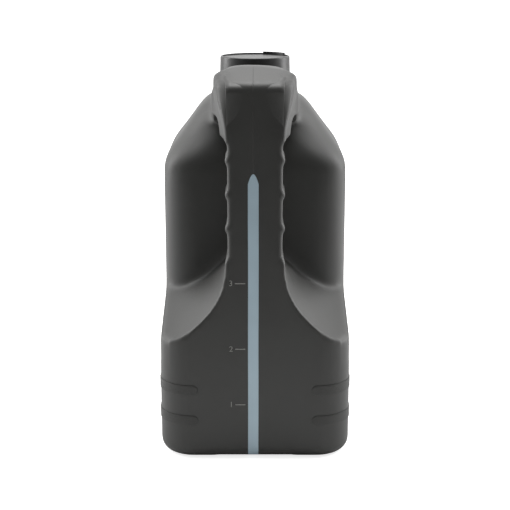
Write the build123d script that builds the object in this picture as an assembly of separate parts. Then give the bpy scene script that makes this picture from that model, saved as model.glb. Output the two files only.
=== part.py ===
from build123d import *
import os

# Motor oil jug: blown bottle with a hollow handle, screw cap, sealing wad and tamper band.
# Frame: X across the jug, Y along it with the handle at -Y, Z up. Origin: middle of the base.

# ---- body ----
body_width = 135.0          # X
body_length = 195.0         # Y
corner_radius = 24.0        # upright corners
base_radius = 9.0           # rounding of the bottom edge
wall = 1.2
shoulder_height = 197.0     # where the sides start to turn in
collar_height = 246.0       # where the shoulder meets the collar

# ---- base ----
recess_depth = 2.0          # push-up of the base
foot_width = 20.0           # rim left round the push-up
arch_width = 56.0           # relief across the front and back rim
arch_height = 1.4

# ---- handle and finger gap ----
handle_width = 41.0
handle_depth = 29.0
gap_depth = 38.5            # from the handle to the body behind it
gap_floor = 144.0           # foot of the gap at the handle
gap_fall = 17.0             # how far the floor drops towards the body
gap_top = 238.0
handle_edge = 2.0           # chamfer along the handle's outer edges
grip_step = 1.7             # how far each finger notch steps in
grip_pitch = 23.5
grip_length = 17.0
grip_lowest = 146.5         # foot of the lowest notch
grip_count = 4

# ---- saddle below the gap: height over the base at the outer face and at the inner wall ----
saddle_side_front = 79.0
saddle_side_back = 107.0

# ---- hood over the handle ----
hood_top = 274.0
hood_half_width = 31.0
hood_crest = 55.0           # distance of the crest from the jug's middle
hood_brow = 260.0           # top of the upright outer face

# ---- neck ----
neck_offset = 28.0          # neck axis from the jug's middle, away from the handle
neck_radius = 22.0
bore_radius = 19.6
neck_rise = 23.3            # mouth above the collar
collar_radius = 31.0
bead_radius = 24.2          # ring that holds the tamper band down
bead_height = 1.6
bead_clearance = 0.5        # bead to the band's lip below it
collar_depth = 4.0

# ---- cap ----
cap_radius_top = 26.1
cap_radius_foot = 26.7
cap_wall = 1.7
cap_top = 2.0
cap_skirt = 20.4
cap_edge = 1.0
rim_height = 1.0
rim_width = 1.6
tab_height = 1.1
tab_width = 1.2
tab_start = 25.0            # degrees from +X
tab_sweep = 50.0
hood_clearance = 1.5        # cap to the hood beside it
wad_thickness = 1.2
wad_clearance = 0.4         # wad to the cap's wall

# ---- tamper band ----
band_height = 4.4
band_gap = 0.4              # between band and cap, where the bridges were
band_lift = 0.3             # band above the collar
lip_height = 1.4
lip_clearance = 0.5         # lip to the neck

# ---- corner pads ----
pad_raise = 0.5
pad_height = 7.4
pad_levels = (25.2, 47.6)
pad_start = 40.0            # inner end on the outer face, from the middle
pad_wrap = 52.0             # how far the pad runs back along the side

half_width = body_width / 2
half_length = body_length / 2
handle_back = -half_length + handle_depth
wall_front = handle_back + gap_depth
mouth_height = collar_height + neck_rise
cap_inside = mouth_height + wad_thickness
cap_high = cap_inside + cap_top
cap_low = cap_high - cap_skirt


def rounded_box(width, front, back, radius, low, high):
    """Upright block with round upright corners."""
    outline = RectangleRounded(width, back - front, radius)
    return Pos(0, (front + back) / 2, low) * extrude(outline, high - low)


def disc(radius, low, high):
    """Round block on the neck's axis."""
    return Pos(0, neck_offset, low) * Cylinder(
        radius, high - low, align=(Align.CENTER, Align.CENTER, Align.MIN))


def taper(radius_foot, radius_top, low, high):
    """Slightly tapered round block on the neck's axis."""
    return Pos(0, neck_offset, low) * Cone(
        radius_foot, radius_top, high - low, align=(Align.CENTER, Align.CENTER, Align.MIN))


def saddle_profile(y, points, top):
    """Cross-section of the lower body at y: a hill whose flanks run out to the sides."""
    inner = points[-1][0]
    with BuildSketch(Plane.XZ.offset(-y)) as section:
        with BuildLine():
            Polyline((-points[0][0], points[0][1]), (-points[0][0], -40), (points[0][0], -40), points[0])
            Spline(*points, tangents=[(-1, 0.25), (0, 1)], tangent_scalars=[1, 1])
            Polyline(points[-1], (inner, top), (-inner, top), (-inner, points[-1][1]))
            Spline(*[(-x, z) for x, z in reversed(points)], tangents=[(0, -1), (-1, -0.25)],
                   tangent_scalars=[1, 1])
        make_face()
    return section.sketch


def lower_body(inset):
    """Lower part: a rounded block under the saddle."""
    block = rounded_box(body_width - 2 * inset, -half_length + inset, half_length - inset,
                        corner_radius - inset, inset, gap_floor + 5)
    block = fillet(block.faces().sort_by(Axis.Z)[0].edges(), base_radius - inset)
    edge = handle_width / 2 - inset
    reach = half_width + 8
    front = [(reach, saddle_side_front - inset), (57.5, 85 - inset), (48.4, 91 - inset),
             (34.5, 104 - inset), (22.8 - inset * 0.7, 124 - inset), (edge, gap_floor - 2)]
    back = [(reach, saddle_side_back - inset), (57.5, 112.5 - inset), (46, 117 - inset),
            (34, 121 - inset), (24, 124 - inset), (edge, gap_floor - gap_fall - 2)]
    inner_end = wall_front + corner_radius + 1
    saddle = loft([saddle_profile(-half_length - 1, front, gap_floor - inset),
                   saddle_profile(inner_end, back, gap_floor - gap_fall - inset)], ruled=True)
    rest = rounded_box(2 * body_width, inner_end, body_length, 1, -1, gap_floor)
    return block & (saddle + rest)


def upper_body(inset):
    """Upper part behind the gap, drawn in over the shoulder to the collar."""
    tower = rounded_box(body_width - 2 * inset, wall_front + inset, half_length - inset,
                        corner_radius - inset, 60, shoulder_height)
    levels = [(shoulder_height, half_width, wall_front, half_length, corner_radius),
              (shoulder_height + 5, 65.8, wall_front + 1.2, half_length - 2, 24.5),
              (shoulder_height + 14, 60.5, wall_front + 5.5, half_length - 7.5, 27),
              (shoulder_height + 27, 50.9, wall_front + 12.5, half_length - 16.5, 29.5),
              (collar_height, collar_radius + 0.6, neck_offset - collar_radius - 1,
               neck_offset + collar_radius + 1, collar_radius)]
    rings = [Pos(0, (front + back) / 2, z - (inset if z > shoulder_height else 0))
             * RectangleRounded(2 * (half - inset), back - front - 2 * inset, radius - inset)
             for z, half, front, back, radius in levels]
    return tower + loft(rings)


def handle(inset):
    """Upright bar with finger notches down both edges of its outer half."""
    edge = handle_width / 2 - inset
    outline = [(edge, gap_floor - 30)]
    for number in range(grip_count):
        low = grip_lowest + number * grip_pitch - inset
        high = low + grip_length + 2 * inset
        outline += [(edge, low - grip_step), (edge - grip_step, low),
                    (edge - grip_step, high), (edge, high + grip_step)]
    outline.append((edge, hood_brow - 12))
    with BuildSketch(Plane.XZ.offset(half_length - inset)) as face:
        with BuildLine():
            Polyline(*outline, *[(-x, z) for x, z in reversed(outline)], close=True)
        make_face()
    bar = extrude(face.sketch, -(handle_depth - 2 * inset))
    return chamfer(bar.faces().sort_by(Axis.Y)[0].edges(), handle_edge - inset)


def hood(inset):
    """Dome that carries the handle's top back to the neck."""
    front = -half_length + inset
    top = hood_top - inset
    with BuildSketch(Plane.YZ) as side:
        with BuildLine():
            Spline((front, hood_brow - inset), (front + 8, hood_brow + 7 - inset),
                   (-hood_crest, top), (neck_offset - 40, hood_brow - 2 - inset),
                   (neck_offset, collar_height + 1 - inset), tangents=[(0, 1), (1, -0.3)])
            Polyline((neck_offset, collar_height + 1 - inset), (neck_offset, gap_top - 8 + inset),
                     (wall_front + 6, gap_top - 8 + inset), (wall_front, gap_top - 3 + inset))
            Spline((wall_front, gap_top - 3 + inset), (wall_front - gap_depth / 2, gap_top + inset),
                   (handle_back - inset, gap_top - 12 + inset), tangents=[(-1, 0.3), (0, -1)])
            Polyline((handle_back - inset, gap_top - 12 + inset), (front, gap_top - 12 + inset),
                     (front, hood_brow - inset))
        make_face()
    with BuildSketch(Plane.XZ) as arch:
        half = hood_half_width - inset
        with BuildLine():
            Polyline((-half, collar_height), (-half, gap_top - 20), (half, gap_top - 20),
                     (half, collar_height))
            Spline((half, collar_height), (28.7 - inset, 258), (24.3 - inset, 266.8 - inset), (0, top),
                   (inset - 24.3, 266.8 - inset), (inset - 28.7, 258), (-half, collar_height),
                   tangents=[(0, 1), (0, -1)])
        make_face()
    with BuildSketch() as plan:
        edge = handle_width / 2 - inset
        spread = [(edge + 2.6, front + 20), (edge + 8, front + 40), (half + 3, front + 60)]
        with BuildLine():
            Polyline((edge, front), (edge, front - 5), (-edge, front - 5), (-edge, front))
            Spline((-edge, front), *[(-x, y) for x, y in spread], tangents=[(0, 1), (0, 1)])
            Polyline((-half - 3, front + 60), (-half - 3, half_length), (half + 3, half_length),
                     (half + 3, front + 60))
            Spline(*spread[::-1], (edge, front), tangents=[(0, -1), (0, -1)])
        make_face()
    return (extrude(side.sketch, half_width, both=True) & extrude(arch.sketch, half_length + 5, both=True)
            & extrude(plan.sketch, 300))


def form(inset):
    """The blown form without the neck's bore, drawn in by inset on every side."""
    return lower_body(inset) + upper_body(inset) + handle(inset) + hood(inset)


def corner_pads():
    """Raised grip pads that wrap the four upright corners."""
    wide = rounded_box(body_width + 2 * pad_raise, -half_length - pad_raise, half_length + pad_raise,
                       corner_radius + pad_raise, 0, 70)
    core = rounded_box(body_width - 2, -half_length + 1, half_length - 1, corner_radius - 1, -1, 71)
    skin = wide - core
    reach = Part()
    for level in pad_levels:
        for x in (-1, 1):
            for y in (-1, 1):
                reach += Pos(x * (pad_start + half_width), y * half_length, level + pad_height / 2) * Box(
                    2 * half_width, 2 * pad_wrap, pad_height)
    return skin & reach


def bottle():
    """The blown bottle, hollow through body, hood and handle, with its neck."""
    bead_level = collar_height + band_lift + lip_height + bead_clearance
    neck = disc(collar_radius, collar_height - collar_depth, collar_height)
    neck += disc(neck_radius, collar_height - 1, mouth_height)
    neck += taper(bead_radius, neck_radius, bead_level, bead_level + bead_height)
    bore = disc(bore_radius, collar_height - collar_depth - 5, mouth_height + 1)
    room_radius = cap_radius_foot + hood_clearance
    outside = form(0) - disc(room_radius, collar_height, hood_top + 10) + neck + corner_pads()
    inside = form(wall) & Pos(0, 0, wall + recess_depth) * Box(
        400, 400, 400, align=(Align.CENTER, Align.CENTER, Align.MIN))
    inside -= disc(room_radius + wall, collar_height - wall, hood_top + 10)
    base = Pos(0, 0, -1) * extrude(RectangleRounded(
        body_width - 2 * foot_width, body_length - 2 * foot_width, corner_radius / 2), recess_depth + 1)
    arch = Box(arch_width, body_length + 10, 2 * arch_height)
    return outside - inside - bore - base - arch


def screw_cap():
    """Plain black cap with a low rim round a sunk top and a short raised tab on the rim."""
    body = taper(cap_radius_foot, cap_radius_top, cap_low, cap_high + rim_height)
    body = fillet(body.faces().sort_by(Axis.Z)[-1].edges(), cap_edge)
    body -= disc(cap_radius_top - rim_width, cap_high, cap_high + rim_height + 1)
    body -= taper(cap_radius_foot - cap_wall, cap_radius_top - cap_wall, cap_low, cap_inside)
    tab_low = cap_high + rim_height - 0.5
    tab_profile = Pos(cap_radius_top - cap_edge - tab_width / 2, 0, tab_low) * (Plane.XZ * Rectangle(
        tab_width, tab_height + 0.5, align=(Align.CENTER, Align.MIN)))
    tab = revolve(tab_profile, Axis.Z, tab_sweep)
    return body + Pos(0, neck_offset, 0) * Rot(0, 0, tab_start) * tab


def cap_liner():
    """Foamed sealing wad between the mouth and the cap."""
    return disc(cap_radius_top - cap_wall - wad_clearance, mouth_height, cap_inside)


def tamper_band():
    """Ring left on the neck under the cap, with a lip below the neck's bead."""
    low = collar_height + band_lift
    ring = disc(cap_radius_foot, low, cap_low - band_gap)
    ring -= disc(cap_radius_foot - cap_wall, low + lip_height, cap_low)
    ring -= disc(neck_radius + lip_clearance, low - 1, cap_low)
    return ring


os.makedirs("parts", exist_ok=True)
nodes = {"bottle": bottle, "screw_cap": screw_cap, "cap_liner": cap_liner, "tamper_band": tamper_band}
for name, make in nodes.items():
    export_step(make(), "parts/" + name + ".step")
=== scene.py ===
import math

import bmesh
import bpy
from mathutils import Matrix, Vector


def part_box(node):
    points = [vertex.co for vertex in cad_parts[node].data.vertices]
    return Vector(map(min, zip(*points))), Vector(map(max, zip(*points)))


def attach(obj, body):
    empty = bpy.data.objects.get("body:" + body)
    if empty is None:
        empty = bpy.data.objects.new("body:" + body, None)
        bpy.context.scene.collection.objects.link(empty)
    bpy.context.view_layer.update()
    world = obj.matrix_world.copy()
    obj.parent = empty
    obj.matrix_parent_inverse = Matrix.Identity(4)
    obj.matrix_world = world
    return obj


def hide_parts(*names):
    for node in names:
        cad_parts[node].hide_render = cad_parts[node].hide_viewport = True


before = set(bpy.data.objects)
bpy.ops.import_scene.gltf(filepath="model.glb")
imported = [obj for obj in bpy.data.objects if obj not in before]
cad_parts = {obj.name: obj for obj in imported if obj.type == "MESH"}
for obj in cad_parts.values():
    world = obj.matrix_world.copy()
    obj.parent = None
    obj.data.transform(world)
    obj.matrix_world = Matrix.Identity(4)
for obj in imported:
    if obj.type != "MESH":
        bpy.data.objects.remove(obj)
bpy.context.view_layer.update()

bl_info = {
    "name": "Oil Jug",
    "version": (1, 0, 0),
    "blender": (4, 5, 0),
    "location": "View3D > Sidebar > Oil Jug",
    "description": "Builds the skin, marks, thread and finishes of a blown oil jug round its fixed frame",
    "category": "Object",
}

MM = 0.001
JUG_HIGH = Vector(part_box("bottle")[1])
CAP_LOW, CAP_HIGH = (Vector(corner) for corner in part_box("screw_cap"))
NECK_Y = (CAP_LOW.y + CAP_HIGH.y) / 2
MOUTH_Z = Vector(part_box("cap_liner")[0]).z
BAND_LIFT = 0.3 * MM          # band above the collar
COLLAR_Z = Vector(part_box("tamper_band")[0]).z - BAND_LIFT
PAD_RAISE = 0.5 * MM
HALF_WIDTH = JUG_HIGH.x - PAD_RAISE
HALF_LENGTH = JUG_HIGH.y - PAD_RAISE
FACE_Y = -HALF_LENGTH
CORNER_RADIUS = 24 * MM

# Skin: how the fixed frame's shell is taken apart
WELD = 0.004 * MM             # vertices nearer than this are one
RIM_SLACK = 0.1 * MM
COLLAR_SLACK = 0.05 * MM
NECK_REACH = 24.6 * MM        # everything of the neck lies inside this radius
BORE_CUT = 20.9 * MM          # between the bore and the neck's outer wall
BORE_DEPTH = 4 * MM           # how far below the collar the bore is opened
FOOT_OVERLAP = 1.5 * MM       # how far the neck runs down inside the skin

# Skin: regions that are shaped or rounded apart
PADS_END = 70 * MM
SADDLE_LOW, SADDLE_HIGH = 66 * MM, 172 * MM
SADDLE_FRONT, SADDLE_BACK = FACE_Y + 7 * MM, -8 * MM
SHOULDER_LOW, SHOULDER_FRONT = 186 * MM, -38 * MM
HOOD_LOW = 226 * MM
SPREAD_LOW, SPREAD_HIGH = JUG_HIGH.z - 44 * MM, JUG_HIGH.z - 12 * MM
SPREAD_FRONT, SPREAD_BACK = FACE_Y + 8 * MM, FACE_Y + 50 * MM
HOOD_SPREAD = 0.30            # widening of the hood's outer face at its top
HOOD_SWEEP = 15 * MM          # how far the hood's sides bend back
HOOD_HALF = 27 * MM
HOOD_CURVE = 2.2              # power of the bend across the hood

# View strip and the pinch line above it
STRIP_SHIFT = 1.2 * MM        # from the jug's middle, to the left
STRIP_DRIFT = 0.8 * MM
STRIP_TAPER = 7 * MM          # height of the strip's point
STRIP_EDGE = 0.35 * MM
STRIP_DEPTH = 12 * MM         # how far back from the outer face the strip is painted
PINCH_HALF = 0.45 * MM
PINCH_BACK = -45 * MM
LINE_GAP, LINE_HALF = 3.4 * MM, 0.8 * MM

# Pads and marks
PAD_SINK = 0.02 * MM
PAD_THICKNESS = 1.0 * MM
PAD_BEVEL = 0.18 * MM
PAD_TIP = 0.16                # square of the share of its height that a pad keeps at its ends
DIGIT_X, TICK_X = -16.6 * MM, -10.2 * MM
TICK_HEIGHT = 0.7 * MM
TICK_BEVEL = 0.12 * MM
FONT_SHARE = 1.4              # font size of a digit one unit high
DIGIT_WELD = 0.002 * MM

# Threads
THREAD_TURNS = 2
THREAD_STEPS = 72             # steps in a turn
THREAD_HALF = 0.9 * MM
THREAD_FLANK = 0.45 * MM
THREAD_DROP = 3 * MM          # below the mouth
NECK_THREAD = (21.6 * MM, 23.1 * MM)
CAP_THREAD = (24.9 * MM, 23.4 * MM)

# Stage
FLOOR_HALF = 6.0
LIGHT_TARGET = (0, 0, 0.14)
TOP_LIGHT, TOP_SIZE = (0, 0.25, 1.3), (1.2, 0.9)
SIDE_X, SIDE_Y, SIDE_Z = 1.3, 0.5, 0.6
SIDE_SIZE = (0.5, 1.4)
CAMERA_PLACE = (0.0, -0.920, 0.352)
CAMERA_FALL = 13.85           # degrees below level
CAMERA_LENS, CAMERA_SENSOR, CAMERA_CLIP = 87.8, 36.0, 0.01


class Value:
    """A shader socket that adds its own Math nodes when it is used in sums."""

    def __init__(self, graph, socket):
        self.graph = graph
        self.socket = socket

    def math(self, operation, *others, clamp=False):
        return self.graph.node("ShaderNodeMath", {"operation": operation, "use_clamp": clamp},
                               {number: other for number, other in enumerate((self, *others))})

    def __add__(self, other):
        return self.math("ADD", other)

    def __sub__(self, other):
        return self.math("SUBTRACT", other)

    def __rsub__(self, other):
        return self.graph.node("ShaderNodeMath", {"operation": "SUBTRACT"}, {0: other, 1: self})

    def __mul__(self, other):
        return self.math("MULTIPLY", other)

    def __truediv__(self, other):
        return self.math("DIVIDE", other)

    def __lt__(self, other):
        return self.math("LESS_THAN", other)

    def __gt__(self, other):
        return self.math("GREATER_THAN", other)

    def __abs__(self):
        return self.math("ABSOLUTE")

    __radd__ = __add__
    __rmul__ = __mul__

    def clamped(self):
        return self.math("ADD", 0.0, clamp=True)


class Graph:
    """Node tree of a material or a world, built from expressions."""

    def __init__(self, owner, coordinates="Object"):
        owner.use_nodes = True
        self.owner = owner
        self.tree = owner.node_tree
        self.tree.nodes.clear()
        self.point = self.node("ShaderNodeTexCoord", output=coordinates)

    def node(self, kind, settings=None, inputs=None, output=0):
        made = self.tree.nodes.new(kind)
        for key, value in (settings or {}).items():
            setattr(made, key, value)
        for key, value in (inputs or {}).items():
            socket = made.inputs[key]
            if isinstance(value, Value):
                self.tree.links.new(value.socket, socket)
            else:
                socket.default_value = value
        return Value(self, made.outputs[output] if made.outputs else None)

    def axes(self):
        split = self.node("ShaderNodeSeparateXYZ", inputs={0: self.point})
        return [Value(self, socket) for socket in split.socket.node.outputs]

    def noise(self, scale, detail=2.0, roughness=0.5):
        return self.node("ShaderNodeTexNoise", inputs={
            "Vector": self.point, "Scale": scale, "Detail": detail, "Roughness": roughness})

    def mix(self, factor, first, second):
        return self.node("ShaderNodeMix", {"data_type": "RGBA"},
                         {0: factor, 6: first, 7: second}, output=2)

    def bump(self, height, distance, strength=1.0, normal=None):
        inputs = {"Height": height, "Distance": distance, "Strength": strength}
        if normal is not None:
            inputs["Normal"] = normal
        return self.node("ShaderNodeBump", inputs=inputs)

    def finish(self, **inputs):
        shader = self.node("ShaderNodeBsdfPrincipled",
                           inputs={key.replace("_", " "): value for key, value in inputs.items()})
        self.node("ShaderNodeOutputMaterial", inputs={"Surface": shader})
        return self.owner


def finish_graph(name):
    """An empty graph for a new material."""
    return Graph(bpy.data.materials.new(name))


def rgba(colour, share=1.0):
    """A colour, lighter or darker by a share, as a shader takes it."""
    return (*(part * share for part in colour[:3]), 1.0)


def jug_plastic(settings):
    """Satin dark plastic with a fine grain, the pale view strip and the pinch line above it."""
    graph = finish_graph("jug_plastic_finish")
    x, y, z = graph.axes()
    drift = (graph.noise(9.0) - 0.5) * STRIP_DRIFT
    beside = abs(x + STRIP_SHIFT + drift)
    point = ((settings.strip_top - z) / STRIP_TAPER).math("MAXIMUM", 0.0).math("SQRT")
    taper = point.math("MINIMUM", 1.0)
    outer = y < FACE_Y + STRIP_DEPTH
    strip = ((taper * settings.strip_width / 2 - beside) / STRIP_EDGE).clamped() * outer
    above = z > settings.strip_top
    pinch = (1 - beside / PINCH_HALF).clamped() * above * (y < PINCH_BACK)
    shoulder_lines = (1 - abs(beside - LINE_GAP) / LINE_HALF).clamped() * above * outer
    mottle = graph.noise(38.0, 3.0)
    fine = graph.noise(1500.0, 3.0, 0.6)
    grain = graph.noise(420.0, 2.0)
    wave = graph.noise(16.0, 1.0)
    tone = graph.mix(mottle, rgba(settings.jug_colour, 0.82),
                     rgba(settings.jug_colour, 1.18))
    pale = graph.mix(graph.noise(30.0, 2.0), rgba(settings.strip_colour, 0.86),
                     rgba(settings.strip_colour, 1.12))
    colour = graph.mix(strip, tone, pale)
    height = fine * 0.05 + grain * 0.05 + wave * 2.6 + strip * 0.25 - pinch * 1.2 + shoulder_lines * 0.12
    rough = 0.40 + mottle * 0.10 + fine * 0.08 - strip * 0.06
    return graph.finish(Base_Color=colour, Roughness=rough, Normal=graph.bump(height, 0.35 * MM, 0.55),
                        Specular_IOR_Level=0.5)


def pad_plastic(settings):
    """The same plastic with a sandy stipple."""
    graph = finish_graph("pad_plastic_finish")
    stipple = graph.noise(900.0, 3.0, 0.7)
    mottle = graph.noise(60.0, 2.0)
    tone = graph.mix(stipple, rgba(settings.jug_colour, 0.7),
                     rgba(settings.jug_colour, 1.3))
    return graph.finish(Base_Color=tone, Roughness=0.52 + mottle * 0.12,
                        Normal=graph.bump(stipple, 0.25 * MM, 0.8))


def cap_plastic(settings):
    """Smooth black plastic with faint scuffs."""
    graph = finish_graph("cap_plastic_finish")
    scuff = graph.noise(220.0, 4.0, 0.7)
    wave = graph.noise(45.0, 1.0)
    tone = graph.mix(scuff, rgba(settings.cap_colour, 0.8),
                     rgba(settings.cap_colour, 1.25))
    return graph.finish(Base_Color=tone, Roughness=0.30 + scuff * 0.14,
                        Normal=graph.bump(scuff * 0.05 + wave * 0.4, 0.2 * MM, 0.4))


def liner_foam(settings):
    """Pale foamed wad."""
    graph = finish_graph("liner_foam_finish")
    cells = graph.node("ShaderNodeTexVoronoi", inputs={"Vector": graph.point, "Scale": 1400.0})
    tone = graph.mix(graph.noise(300.0), (0.68, 0.67, 0.63, 1.0), (0.82, 0.81, 0.78, 1.0))
    return graph.finish(Base_Color=tone, Roughness=0.75 + cells * 0.1,
                        Normal=graph.bump(cells, 0.1 * MM, 0.5))


def mark_plastic(settings):
    """The jug's plastic on the raised marks, coloured pale as a painted highlight for the light their
    raised faces catch.
    """
    graph = finish_graph("mark_plastic_finish")
    speckle = graph.noise(700.0, 3.0)
    # Painted highlight: both tones are far paler than the jug's dark plastic and stand in for light
    # caught on the raised marks; the speckle only varies it.
    tone = graph.mix(speckle, (0.10, 0.10, 0.095, 1.0), (0.27, 0.27, 0.25, 1.0))
    return graph.finish(Base_Color=tone, Roughness=0.45 + speckle * 0.1,
                        Normal=graph.bump(speckle, 0.05 * MM, 0.4))


def add_object(name, data):
    """A new object in the scene."""
    made = bpy.data.objects.new(name, data)
    bpy.context.scene.collection.objects.link(made)
    return made


def merge(target, source):
    """Moves the source's geometry into the target."""
    mesh = bpy.data.meshes.new("merge")
    source.to_mesh(mesh)
    source.free()
    target.from_mesh(mesh)
    bpy.data.meshes.remove(mesh)


def baked(carrier):
    """The evaluated shape of an object as a bmesh. The object itself is removed."""
    evaluated = carrier.evaluated_get(bpy.context.evaluated_depsgraph_get())
    shape = bmesh.new()
    shape.from_mesh(evaluated.to_mesh())
    evaluated.to_mesh_clear()
    bpy.data.objects.remove(carrier)
    return shape


def material(make):
    """The finish that a function makes, built once."""
    return bpy.data.materials.get(make.__name__ + "_finish") or make(bpy.context.scene.oil_jug)


def paint(piece, make):
    """Leaves a piece with one finish."""
    piece.data.materials.clear()
    piece.data.materials.append(material(make))


def piece_from(mesh_bm, name, body, make, angle=40.0):
    """A finished, smooth-shaded object that rides on a body."""
    mesh = bpy.data.meshes.new(name)
    mesh_bm.to_mesh(mesh)
    mesh_bm.free()
    mesh.shade_smooth()
    mesh.set_sharp_from_angle(angle=math.radians(angle))
    piece = add_object(name, mesh)
    paint(piece, make)
    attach(piece, body)
    return piece


def radius_from_neck(point):
    """Distance from the neck's axis."""
    return math.hypot(point.x, point.y - NECK_Y)


def spread(start, blocked):
    """Every face joined to the start without passing through the blocked ones."""
    found, queue = {start}, [start]
    while queue:
        for edge in queue.pop().edges:
            for face in edge.link_faces:
                if face not in found and face not in blocked:
                    found.add(face)
                    queue.append(face)
    return found


def split_shell(node):
    """The jug's outer skin below the neck, and the rest of its shell, as two bmeshes."""
    skin = bmesh.new()
    skin.from_mesh(node.data)
    bmesh.ops.remove_doubles(skin, verts=skin.verts, dist=WELD)
    skin.faces.index_update()
    rim = {face for face in skin.faces if min(v.co.z for v in face.verts) > MOUTH_Z - RIM_SLACK
           and radius_from_neck(face.calc_center_median()) < NECK_REACH}
    lowest = min(skin.faces, key=lambda face: face.calc_center_median().z)
    outer = {face.index for face in spread(lowest, rim) if not all(
        radius_from_neck(v.co) < NECK_REACH and v.co.z > COLLAR_Z - COLLAR_SLACK for v in face.verts)}
    rest = skin.copy()
    bmesh.ops.delete(skin, geom=[f for f in skin.faces if f.index not in outer], context="FACES")
    bmesh.ops.delete(rest, geom=[f for f in rest.faces if f.index in outer], context="FACES")
    bmesh.ops.holes_fill(skin, edges=[edge for edge in skin.edges if edge.is_boundary], sides=0)
    return skin, rest


def remeshed(source, voxel):
    """The closed source as one even skin of small quads."""
    mesh = bpy.data.meshes.new("skin_source")
    source.to_mesh(mesh)
    source.free()
    carrier = add_object("skin_source", mesh)
    modifier = carrier.modifiers.new("even", "REMESH")
    modifier.mode = "VOXEL"
    modifier.voxel_size = voxel
    return baked(carrier)


def ease(low, high, value):
    """Smooth step from 0 at low to 1 at high."""
    share = min(max((value - low) / (high - low), 0.0), 1.0)
    return share * share * (3 - 2 * share)


def flatten_pads(point):
    """Takes the pads' height off the lower walls, where separate stippled pads lie."""
    point.x = min(max(point.x, -HALF_WIDTH), HALF_WIDTH)
    point.y = min(max(point.y, -HALF_LENGTH), HALF_LENGTH)
    away_x = abs(point.x) - (HALF_WIDTH - CORNER_RADIUS)
    away_y = abs(point.y) - (HALF_LENGTH - CORNER_RADIUS)
    if away_x > 0 and away_y > 0:
        distance = math.hypot(away_x, away_y)
        if distance > CORNER_RADIUS:
            shrink = CORNER_RADIUS / distance
            point.x = math.copysign(HALF_WIDTH - CORNER_RADIUS + away_x * shrink, point.x)
            point.y = math.copysign(HALF_LENGTH - CORNER_RADIUS + away_y * shrink, point.y)


def shape_hood(point):
    """Spreads the hood's outer face as it rises and bends its sides back towards the neck."""
    rise = ease(SPREAD_LOW, SPREAD_HIGH, point.z)
    near = 1 - ease(SPREAD_FRONT, SPREAD_BACK, point.y)
    point.x *= 1 + HOOD_SPREAD * rise * near
    side = min(abs(point.x) / HOOD_HALF, 1.0)
    point.y += HOOD_SWEEP * rise * near * side ** HOOD_CURVE


def soften(skin, settings):
    """Rounds the edges as blowing does: little along the handle, most in the saddle and the shoulder."""
    everywhere = list(skin.verts)
    saddle = [v for v in everywhere if SADDLE_LOW < v.co.z < SADDLE_HIGH
              and SADDLE_FRONT < v.co.y < SADDLE_BACK]
    shoulder = [v for v in everywhere if v.co.z > SHOULDER_LOW and v.co.y > SHOULDER_FRONT]
    hood = [v for v in everywhere if v.co.z > HOOD_LOW]
    for region, rounds in ((everywhere, settings.edge_rounds), (saddle, settings.saddle_rounds),
                           (shoulder, settings.shoulder_rounds), (hood, settings.hood_rounds)):
        for _ in range(rounds):
            bmesh.ops.smooth_vert(skin, verts=region, factor=0.5, use_axis_x=True, use_axis_y=True,
                                  use_axis_z=True)


class JUG_OT_skin(bpy.types.Operator):
    """Builds the jug's blown skin over the fixed frame's shape"""
    bl_idname = "oil_jug.skin"
    bl_label = "Jug Skin"

    def execute(self, context):
        settings = context.scene.oil_jug
        skin, rest = split_shell(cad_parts["bottle"])
        skin = remeshed(skin, settings.skin_grid)
        for vertex in skin.verts:
            if vertex.co.z < PADS_END:
                flatten_pads(vertex.co)
            elif vertex.co.z > HOOD_LOW:
                shape_hood(vertex.co)
        soften(skin, settings)
        plug = [v for v in skin.verts
                if radius_from_neck(v.co) < BORE_CUT and v.co.z > COLLAR_Z - BORE_DEPTH]
        bmesh.ops.delete(skin, geom=plug, context="VERTS")
        foot = [edge for edge in rest.edges if edge.is_boundary]
        drawn = bmesh.ops.extrude_edge_only(rest, edges=foot)["geom"]
        for vertex in drawn:
            if isinstance(vertex, bmesh.types.BMVert):
                vertex.co.z -= FOOT_OVERLAP
        merge(skin, rest)
        piece = piece_from(skin, "jug_skin", "jug", jug_plastic, angle=60.0)
        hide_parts("bottle")
        return {"FINISHED"}


def corner_pad(side, end, level, settings):
    """A thin raised pad wrapped round an upright corner, drawn as a bent strip with a wall all round."""
    centre = Vector((HALF_WIDTH - CORNER_RADIUS, HALF_LENGTH - CORNER_RADIUS))
    flat = centre.x - settings.pad_start
    arc = CORNER_RADIUS * math.pi / 2
    run = flat + arc + settings.pad_side
    pad = bmesh.new()
    bmesh.ops.create_grid(pad, x_segments=56, y_segments=6, size=0.5)
    for vertex in pad.verts:
        along = (vertex.co.x + 0.5) * run
        up = vertex.co.y * settings.pad_height
        tip = settings.pad_height / 2
        from_end = min(along, run - along)
        if from_end < tip:
            up *= math.sqrt(max(1 - ((tip - from_end) / tip) ** 2, PAD_TIP))
        out = CORNER_RADIUS + PAD_RAISE - PAD_SINK
        if along < flat:
            x, y = settings.pad_start + along, centre.y + out
        elif along < flat + arc:
            turn = (along - flat) / CORNER_RADIUS
            x, y = centre.x + out * math.sin(turn), centre.y + out * math.cos(turn)
        else:
            x, y = centre.x + out, centre.y - (along - flat - arc)
        vertex.co = Vector((side * x, end * y, level + settings.pad_height / 2 + up))
    bmesh.ops.recalc_face_normals(pad, faces=pad.faces)
    middle = Vector((0, 0, level))
    if sum((f.calc_center_median() - middle).dot(f.normal) for f in pad.faces) < 0:
        bmesh.ops.reverse_faces(pad, faces=pad.faces)
    bmesh.ops.solidify(pad, geom=list(pad.faces), thickness=PAD_THICKNESS)
    edges = [e for e in pad.edges if e.calc_face_angle(0) > 1.0]
    bmesh.ops.bevel(pad, geom=edges, offset=PAD_BEVEL, segments=2, profile=0.5, material=-1,
                    affect="EDGES")
    return pad


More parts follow.
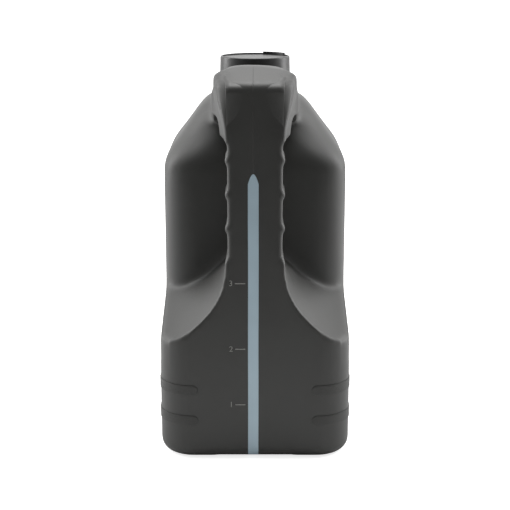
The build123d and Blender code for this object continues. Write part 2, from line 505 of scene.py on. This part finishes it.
class JUG_OT_pads(bpy.types.Operator):
    """Lays the stippled grip pads round the upright corners"""
    bl_idname = "oil_jug.pads"
    bl_label = "Corner Pads"

    def execute(self, context):
        settings = context.scene.oil_jug
        pads = bmesh.new()
        for level in (settings.pad_low, settings.pad_high):
            for side in (-1, 1):
                for end in (-1, 1):
                    merge(pads, corner_pad(side, end, level, settings))
        piece_from(pads, "corner_pads", "jug", pad_plastic)
        return {"FINISHED"}


def raised_text(body, height, depth):
    """A digit as a solid mesh, standing in the XZ plane and facing -Y."""
    curve = bpy.data.curves.new("mark", "FONT")
    curve.body = body
    curve.size = height * FONT_SHARE
    curve.extrude = depth / 2
    curve.align_x = "CENTER"
    curve.align_y = "CENTER"
    digit = baked(add_object("mark", curve))
    bmesh.ops.remove_doubles(digit, verts=digit.verts, dist=DIGIT_WELD)
    bmesh.ops.rotate(digit, verts=digit.verts, matrix=Matrix.Rotation(math.pi / 2, 3, "X"))
    return digit


class JUG_OT_marks(bpy.types.Operator):
    """Raises the litre marks beside the view strip"""
    bl_idname = "oil_jug.marks"
    bl_label = "Litre Marks"

    def execute(self, context):
        settings = context.scene.oil_jug
        marks = bmesh.new()
        levels = (settings.first_litre, settings.second_litre, settings.third_litre)
        for number, level in enumerate(levels, start=1):
            digit = raised_text(str(number), settings.digit_height, 2 * settings.mark_depth)
            bmesh.ops.translate(digit, verts=digit.verts, vec=(DIGIT_X, FACE_Y, level))
            merge(marks, digit)
            place = Matrix.Translation((TICK_X, FACE_Y, level)) @ Matrix.Diagonal(
                (settings.tick_length, 2 * settings.mark_depth, TICK_HEIGHT, 1.0))
            tick = bmesh.ops.create_cube(marks, size=1.0, matrix=place)["verts"]
            edges = list({edge for vertex in tick for edge in vertex.link_edges})
            bmesh.ops.bevel(marks, geom=edges, offset=TICK_BEVEL, segments=2, profile=0.5, material=-1,
                            affect="EDGES")
        piece_from(marks, "litre_marks", "jug", mark_plastic)
        return {"FINISHED"}


def thread(inner, outer, low, rise):
    """A helical ridge round the neck's axis."""
    ridge = bmesh.new()
    crest = THREAD_HALF - THREAD_FLANK
    corners = ((inner, -THREAD_HALF), (outer, -crest), (outer, crest), (inner, THREAD_HALF))
    profile = ridge.faces.new([ridge.verts.new((radius, NECK_Y, low + height))
                               for radius, height in corners])
    steps = THREAD_STEPS * THREAD_TURNS
    bmesh.ops.spin(ridge, geom=[profile, *profile.verts, *profile.edges], cent=(0, NECK_Y, 0),
                   axis=(0, 0, 1), dvec=(0, 0, rise / steps), angle=2 * math.pi * THREAD_TURNS,
                   steps=steps)
    bmesh.ops.recalc_face_normals(ridge, faces=ridge.faces)
    return ridge


class JUG_OT_threads(bpy.types.Operator):
    """Winds the thread on the neck and the matching one inside the cap"""
    bl_idname = "oil_jug.threads"
    bl_label = "Threads"

    def execute(self, context):
        settings = context.scene.oil_jug
        rise = settings.thread_pitch * THREAD_TURNS
        start = MOUTH_Z - THREAD_DROP - rise
        outside = thread(*NECK_THREAD, start, rise)
        piece_from(outside, "neck_thread", "jug", jug_plastic)
        inside = thread(*CAP_THREAD, start + settings.thread_pitch / 2, rise)
        piece_from(inside, "cap_thread", "cap", cap_plastic)
        return {"FINISHED"}


class JUG_OT_finishes(bpy.types.Operator):
    """Gives the cap, its wad and the tamper band their finishes"""
    bl_idname = "oil_jug.finishes"
    bl_label = "Cap Finishes"

    def execute(self, context):
        for name, make in (("screw_cap", cap_plastic), ("tamper_band", cap_plastic),
                           ("cap_liner", liner_foam)):
            paint(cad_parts[name], make)
        return {"FINISHED"}


def softbox(name, place, size, energy):
    """A rectangular lamp that faces the jug."""
    lamp = bpy.data.lights.new(name, "AREA")
    lamp.shape = "RECTANGLE"
    lamp.size, lamp.size_y = size
    lamp.energy = energy
    stand = add_object(name, lamp)
    stand.location = place
    stand.rotation_euler = (Vector(LIGHT_TARGET) - Vector(place)).to_track_quat("-Z", "Y").to_euler()


def studio_world(settings):
    """White behind the jug, pale at the sides and dim in front of it."""
    graph = Graph(bpy.data.worlds.new("studio"), "Generated")
    _, along, _ = graph.axes()
    path = graph.node("ShaderNodeLightPath").socket.node.outputs
    camera = Value(graph, path["Is Camera Ray"])
    behind = (along * 1.4 + 0.75).clamped()
    glow = (behind * (1 - settings.room_dim) + settings.room_dim) * settings.room_light
    shader = graph.node("ShaderNodeBackground", inputs={
        "Color": (1, 1, 1, 1), "Strength": camera + (1 - camera) * glow})
    graph.node("ShaderNodeOutputWorld", inputs={"Surface": shader})
    bpy.context.scene.world = graph.owner


def stage_floor(settings):
    """Pale floor that shows white to the camera and keeps the jug's shadow."""
    graph = finish_graph("stage_floor")
    path = graph.node("ShaderNodeLightPath").socket.node.outputs
    seen = Value(graph, path["Is Camera Ray"])
    matt = graph.node("ShaderNodeBsdfDiffuse", inputs={
        "Color": graph.mix(graph.noise(3.0), (0.78, 0.78, 0.78, 1.0), (0.82, 0.82, 0.82, 1.0))})
    glow = graph.node("ShaderNodeEmission", inputs={
        "Color": (1, 1, 1, 1), "Strength": seen * settings.floor_glow})
    both = graph.node("ShaderNodeAddShader", inputs={0: matt, 1: glow})
    graph.node("ShaderNodeOutputMaterial", inputs={"Surface": both})
    floor = bmesh.new()
    bmesh.ops.create_grid(floor, x_segments=8, y_segments=8, size=FLOOR_HALF)
    bmesh.ops.translate(floor, verts=floor.verts, vec=(0, FLOOR_HALF - settings.floor_front, 0))
    mesh = bpy.data.meshes.new("floor")
    floor.to_mesh(mesh)
    floor.free()
    mesh.materials.append(graph.owner)
    piece = add_object("floor", mesh)


class JUG_OT_stage(bpy.types.Operator):
    """Sets the floor, the lamps and the camera"""
    bl_idname = "oil_jug.stage"
    bl_label = "Stage"

    def execute(self, context):
        scene, settings = context.scene, context.scene.oil_jug
        stage_floor(settings)
        studio_world(settings)
        softbox("top_light", TOP_LIGHT, TOP_SIZE, settings.top_energy)
        for name, side in (("left_light", -1), ("right_light", 1)):
            softbox(name, (side * SIDE_X, SIDE_Y, SIDE_Z), SIDE_SIZE, settings.side_energy)
        camera = bpy.data.cameras.new("camera")
        camera.lens, camera.sensor_width, camera.clip_start = CAMERA_LENS, CAMERA_SENSOR, CAMERA_CLIP
        stand = add_object("camera", camera)
        stand.location = CAMERA_PLACE
        stand.rotation_euler = (math.radians(90 - CAMERA_FALL), 0.0, 0.0)
        scene.camera = stand
        scene.view_settings.view_transform = "Standard"
        return {"FINISHED"}


def length(label, default, note):
    """A setting that is a distance."""
    return bpy.props.FloatProperty(name=label, description=note, default=default, subtype="DISTANCE",
                                   unit="LENGTH", precision=5)


def colour(label, default, note):
    """A setting that is a colour."""
    return bpy.props.FloatVectorProperty(name=label, description=note, default=default, subtype="COLOR",
                                         size=3, min=0.0, max=1.0)


def number(label, default, note):
    """A setting that is a plain number."""
    return bpy.props.FloatProperty(name=label, description=note, default=default, min=0.0)


def rounds(label, default, note):
    """A setting that counts smoothing passes."""
    return bpy.props.IntProperty(name=label, description=note, default=default, min=0)


class OilJugSettings(bpy.types.PropertyGroup):
    """Sizes and colours that a user may change."""
    jug_colour: colour("Jug colour", (0.022, 0.022, 0.020), "Colour of the blown plastic")
    cap_colour: colour("Cap colour", (0.012, 0.012, 0.012), "Colour of the cap and band")
    strip_colour: colour("Strip colour", (0.34, 0.44, 0.50), "Colour of the view strip")
    strip_width: length("Strip width", 7.6 * MM, "Width of the view strip")
    strip_top: length("Strip top", 205 * MM, "Height of the view strip's point")
    skin_grid: length("Skin grid", 1.65 * MM, "Spacing of the skin's quads")
    edge_rounds: rounds("Edge rounds", 2, "Smoothing passes over the whole skin")
    saddle_rounds: rounds("Saddle rounds", 22, "Smoothing passes over the saddle")
    shoulder_rounds: rounds("Shoulder rounds", 14, "Smoothing passes over the shoulder")
    hood_rounds: rounds("Hood rounds", 8, "Smoothing passes over the hood")
    pad_start: length("Pad start", 40 * MM, "Inner end of each pad on the end faces")
    pad_side: length("Pad side run", 26 * MM, "Length of each pad on the side faces")
    pad_height: length("Pad height", 7.4 * MM, "Height of each pad")
    pad_low: length("Lower pads", 25.2 * MM, "Foot of the lower pads")
    pad_high: length("Upper pads", 47.6 * MM, "Foot of the upper pads")
    first_litre: length("First litre", 41.0 * MM, "Height of mark 1")
    second_litre: length("Second litre", 81.9 * MM, "Height of mark 2")
    third_litre: length("Third litre", 129.0 * MM, "Height of mark 3")
    digit_height: length("Digit height", 4.0 * MM, "Height of the digits")
    tick_length: length("Tick length", 7.0 * MM, "Length of the tick marks")
    mark_depth: length("Mark depth", 0.25 * MM, "How far the marks stand out")
    thread_pitch: length("Thread pitch", 5.0 * MM, "Rise of the cap in one turn")
    top_energy: number("Top light", 16.0, "Power of the lamp above")
    side_energy: number("Side lights", 12.0, "Power of each lamp at the sides")
    room_light: number("Room light", 1.4, "Strength of the pale room")
    room_dim: number("Room front", 0.22, "Share of the room's light left in front of the jug")
    floor_front: length("Floor front", 0.36, "How far the pale floor reaches in front of the jug")
    floor_glow: number("Floor glow", 0.75, "Light added to the floor as the camera sees it")


STEPS = (JUG_OT_skin, JUG_OT_pads, JUG_OT_marks, JUG_OT_threads, JUG_OT_finishes, JUG_OT_stage)


class JUG_PT_panel(bpy.types.Panel):
    """Lists the steps that build the jug"""
    bl_idname = "JUG_PT_panel"
    bl_label = "Oil Jug"
    bl_space_type = "VIEW_3D"
    bl_region_type = "UI"
    bl_category = "Oil Jug"

    def draw(self, context):
        for step in STEPS:
            self.layout.operator(step.bl_idname)
        for name in OilJugSettings.__annotations__:
            self.layout.prop(context.scene.oil_jug, name)


CLASSES = (OilJugSettings, *STEPS, JUG_PT_panel)


def register():
    for item in CLASSES:
        bpy.utils.register_class(item)
    bpy.types.Scene.oil_jug = bpy.props.PointerProperty(type=OilJugSettings)


def unregister():
    del bpy.types.Scene.oil_jug
    for item in reversed(CLASSES):
        bpy.utils.unregister_class(item)


def main():
    """Builds everything."""
    register()
    for step in STEPS:
        group, name = step.bl_idname.split(".")
        getattr(getattr(bpy.ops, group), name)()


if __name__ == "__main__":
    main()
